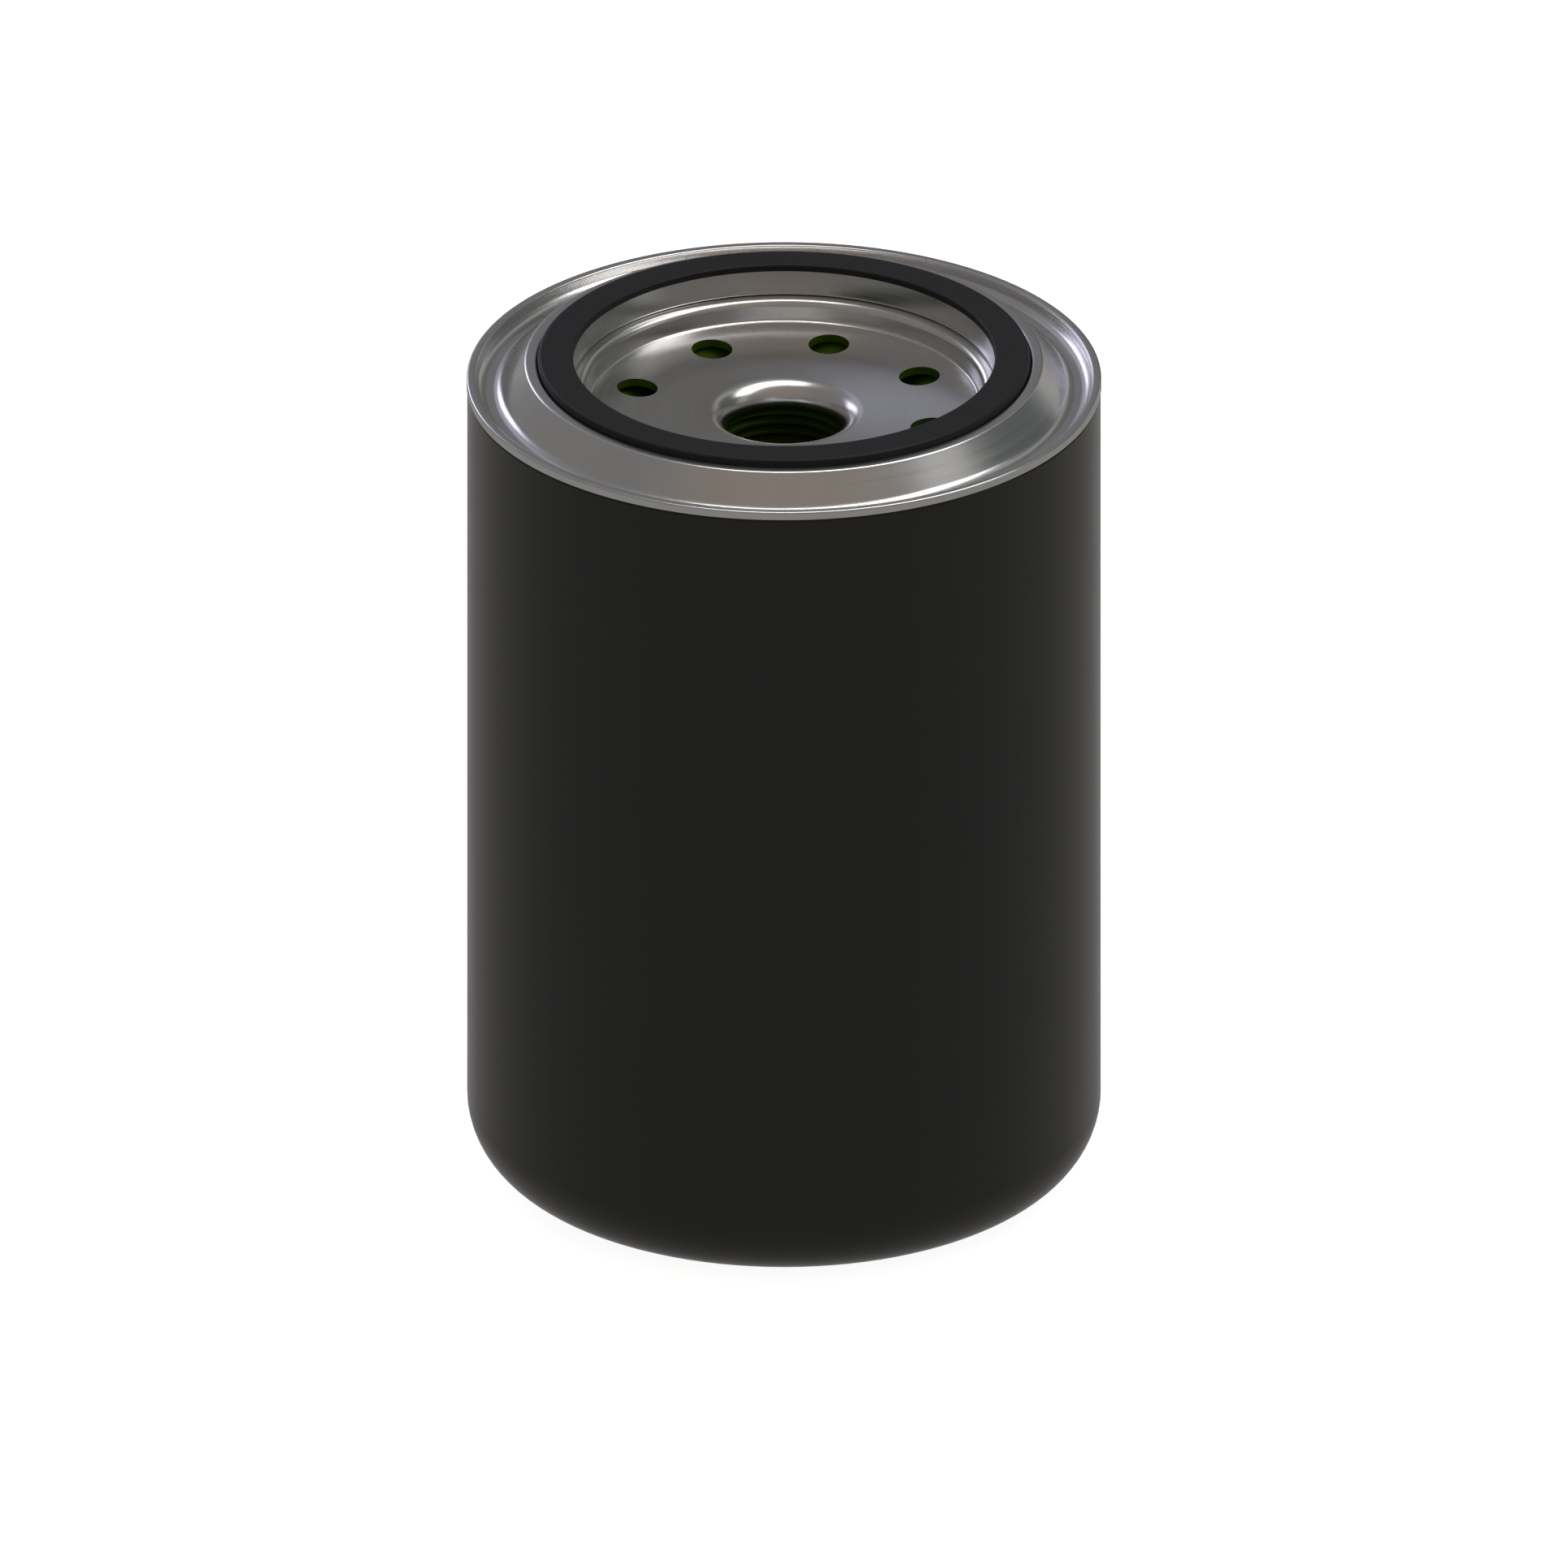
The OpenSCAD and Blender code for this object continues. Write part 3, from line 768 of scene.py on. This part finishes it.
def add_media():
    """The paper in rounded pleats. The pleats waver a little between the potted ends."""
    low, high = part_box("pleated_media")
    path = pleat_path()
    left, right = [], []
    for i, point in enumerate(path):
        along = path[min(i + 1, len(path) - 1)] - path[max(i - 1, 0)]
        side = Vector((-along.y, along.x)).normalized() * PAPER / 2
        left.append(point + side)
        right.append(point - side)
    outline = left + right[::-1]
    levels = 28
    points = []
    for level in range(levels + 1):
        share = level / levels
        z = low.z + (high.z - low.z) * share
        for p in outline:
            angle = math.atan2(p.y, p.x)
            away_from_clip = min(1, abs(angle) / CLIP_REACH)
            loose = math.sin(math.pi * share) * away_from_clip
            depth = (p.length - PLEAT_ROOT_R) / (PLEAT_TIP_R - PLEAT_ROOT_R)
            mid = math.sin(math.pi * max(0, min(1, depth)))
            sway = SWAY * loose * (0.4 + mid) * math.sin(SWAY_UP * share + SWAY_ROUND * angle)
            turned = angle + sway
            points.append((p.length * math.cos(turned), p.length * math.sin(turned), z))
    count = len(outline)
    faces = grid_faces(levels + 1, count)
    last = levels * count
    half = len(left)
    for i in range(half - 1):
        a, b, c, d = i, i + 1, count - 2 - i, count - 1 - i
        faces.append((a, b, c, d))
        faces.append((last + d, last + c, last + b, last + a))
    add_piece("paper", points, faces, "filter_paper", "element", "pleated_media")


def fold_arc(radius, angle, bend_r, outward, steps=6):
    """The half turn of a fold at this distance from the axis, in the order that the paper runs."""
    centre = radius - bend_r if outward else radius + bend_r
    points = []
    for i in range(steps + 1):
        a = math.pi * (i / steps - 0.5)
        reach = math.cos(a) * bend_r * (1 if outward else -1)
        along, across = centre + reach, math.sin(a) * bend_r
        points.append(Vector((
            along * math.cos(angle) - across * math.sin(angle),
            along * math.sin(angle) + across * math.cos(angle),
        )))
    return points


def add_cords():
    """Twisted cords round the pleats."""
    low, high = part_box("pleat_cords")
    media_low, media_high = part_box("pleated_media")
    cord_r = 0.4 * MM
    mean_r = high.x - cord_r
    around, sides = 720, 12
    strands, twists = 3, 70
    hollow = 0.12               # how deep the hollows between strands are, in the cord's radius
    cords = 3
    points, faces = [], []
    for ring in range(1, cords + 1):
        height = media_low.z + (media_high.z - media_low.z) * ring / (cords + 1)
        start = len(points)
        for i in range(around):
            angle = TURN * i / around
            for j in range(sides):
                a = TURN * j / sides
                thick = cord_r * (1 - hollow + hollow * math.cos(strands * a + twists * angle))
                r = mean_r + thick * math.cos(a)
                points.append((r * math.cos(angle), r * math.sin(angle), height + thick * math.sin(a)))
        faces += [tuple(start + k for k in f) for f in grid_faces(around, sides, close_rows=True)]
    add_piece("cords", points, faces, "cord", "element", "pleat_cords")


# ---------------------------------------------------------------- assembly

MATERIALS = {
    "can_paint": can_paint,
    "lid_steel": lid_steel,
    "seam_compound": seam_compound,
    "gasket_rubber": gasket_rubber,
    "plate_steel": plate_steel,
    "bush_steel": bush_steel,
    "valve_rubber": valve_rubber,
    "cap_steel": cap_steel,
    "potting": potting,
    "filter_paper": filter_paper,
    "cord": cord,
    "tube_steel": tube_steel,
    "valve_steel": valve_steel,
    "seal_rubber": seal_rubber,
    "spring_steel": spring_steel,
}

add_camera()
add_world()
add_floor()
add_light(
    "overhead", azimuth=112, elevation=72, distance=1.3,
    size=(1.5, 0.62), radiance=2.8, roll=58,
)
add_light(
    "back", azimuth=-148, elevation=20, distance=1.3,
    size=(0.52, 0.36), radiance=2.3, colour=(0.78, 0.78, 1.0), roll=30,
)

made = {name: make() for name, make in MATERIALS.items()}
smooth_cad = smoothing_nodes()
for name, node in NODES.items():
    node.data.materials.clear()
    node.data.materials.append(made[SLOTS[name]])
    smooth(node)

add_bush()
add_diaphragm()
add_spring(
    "support_coil", "support_spring", wire=1.8 * MM, turns=4,
    body="housing",
)
add_spring(
    "bypass_coil", "bypass_spring", wire=1.2 * MM, turns=7,
    body="element",
)
add_media()
add_cords()

scene = bpy.context.scene
scene.view_settings.view_transform = "Standard"
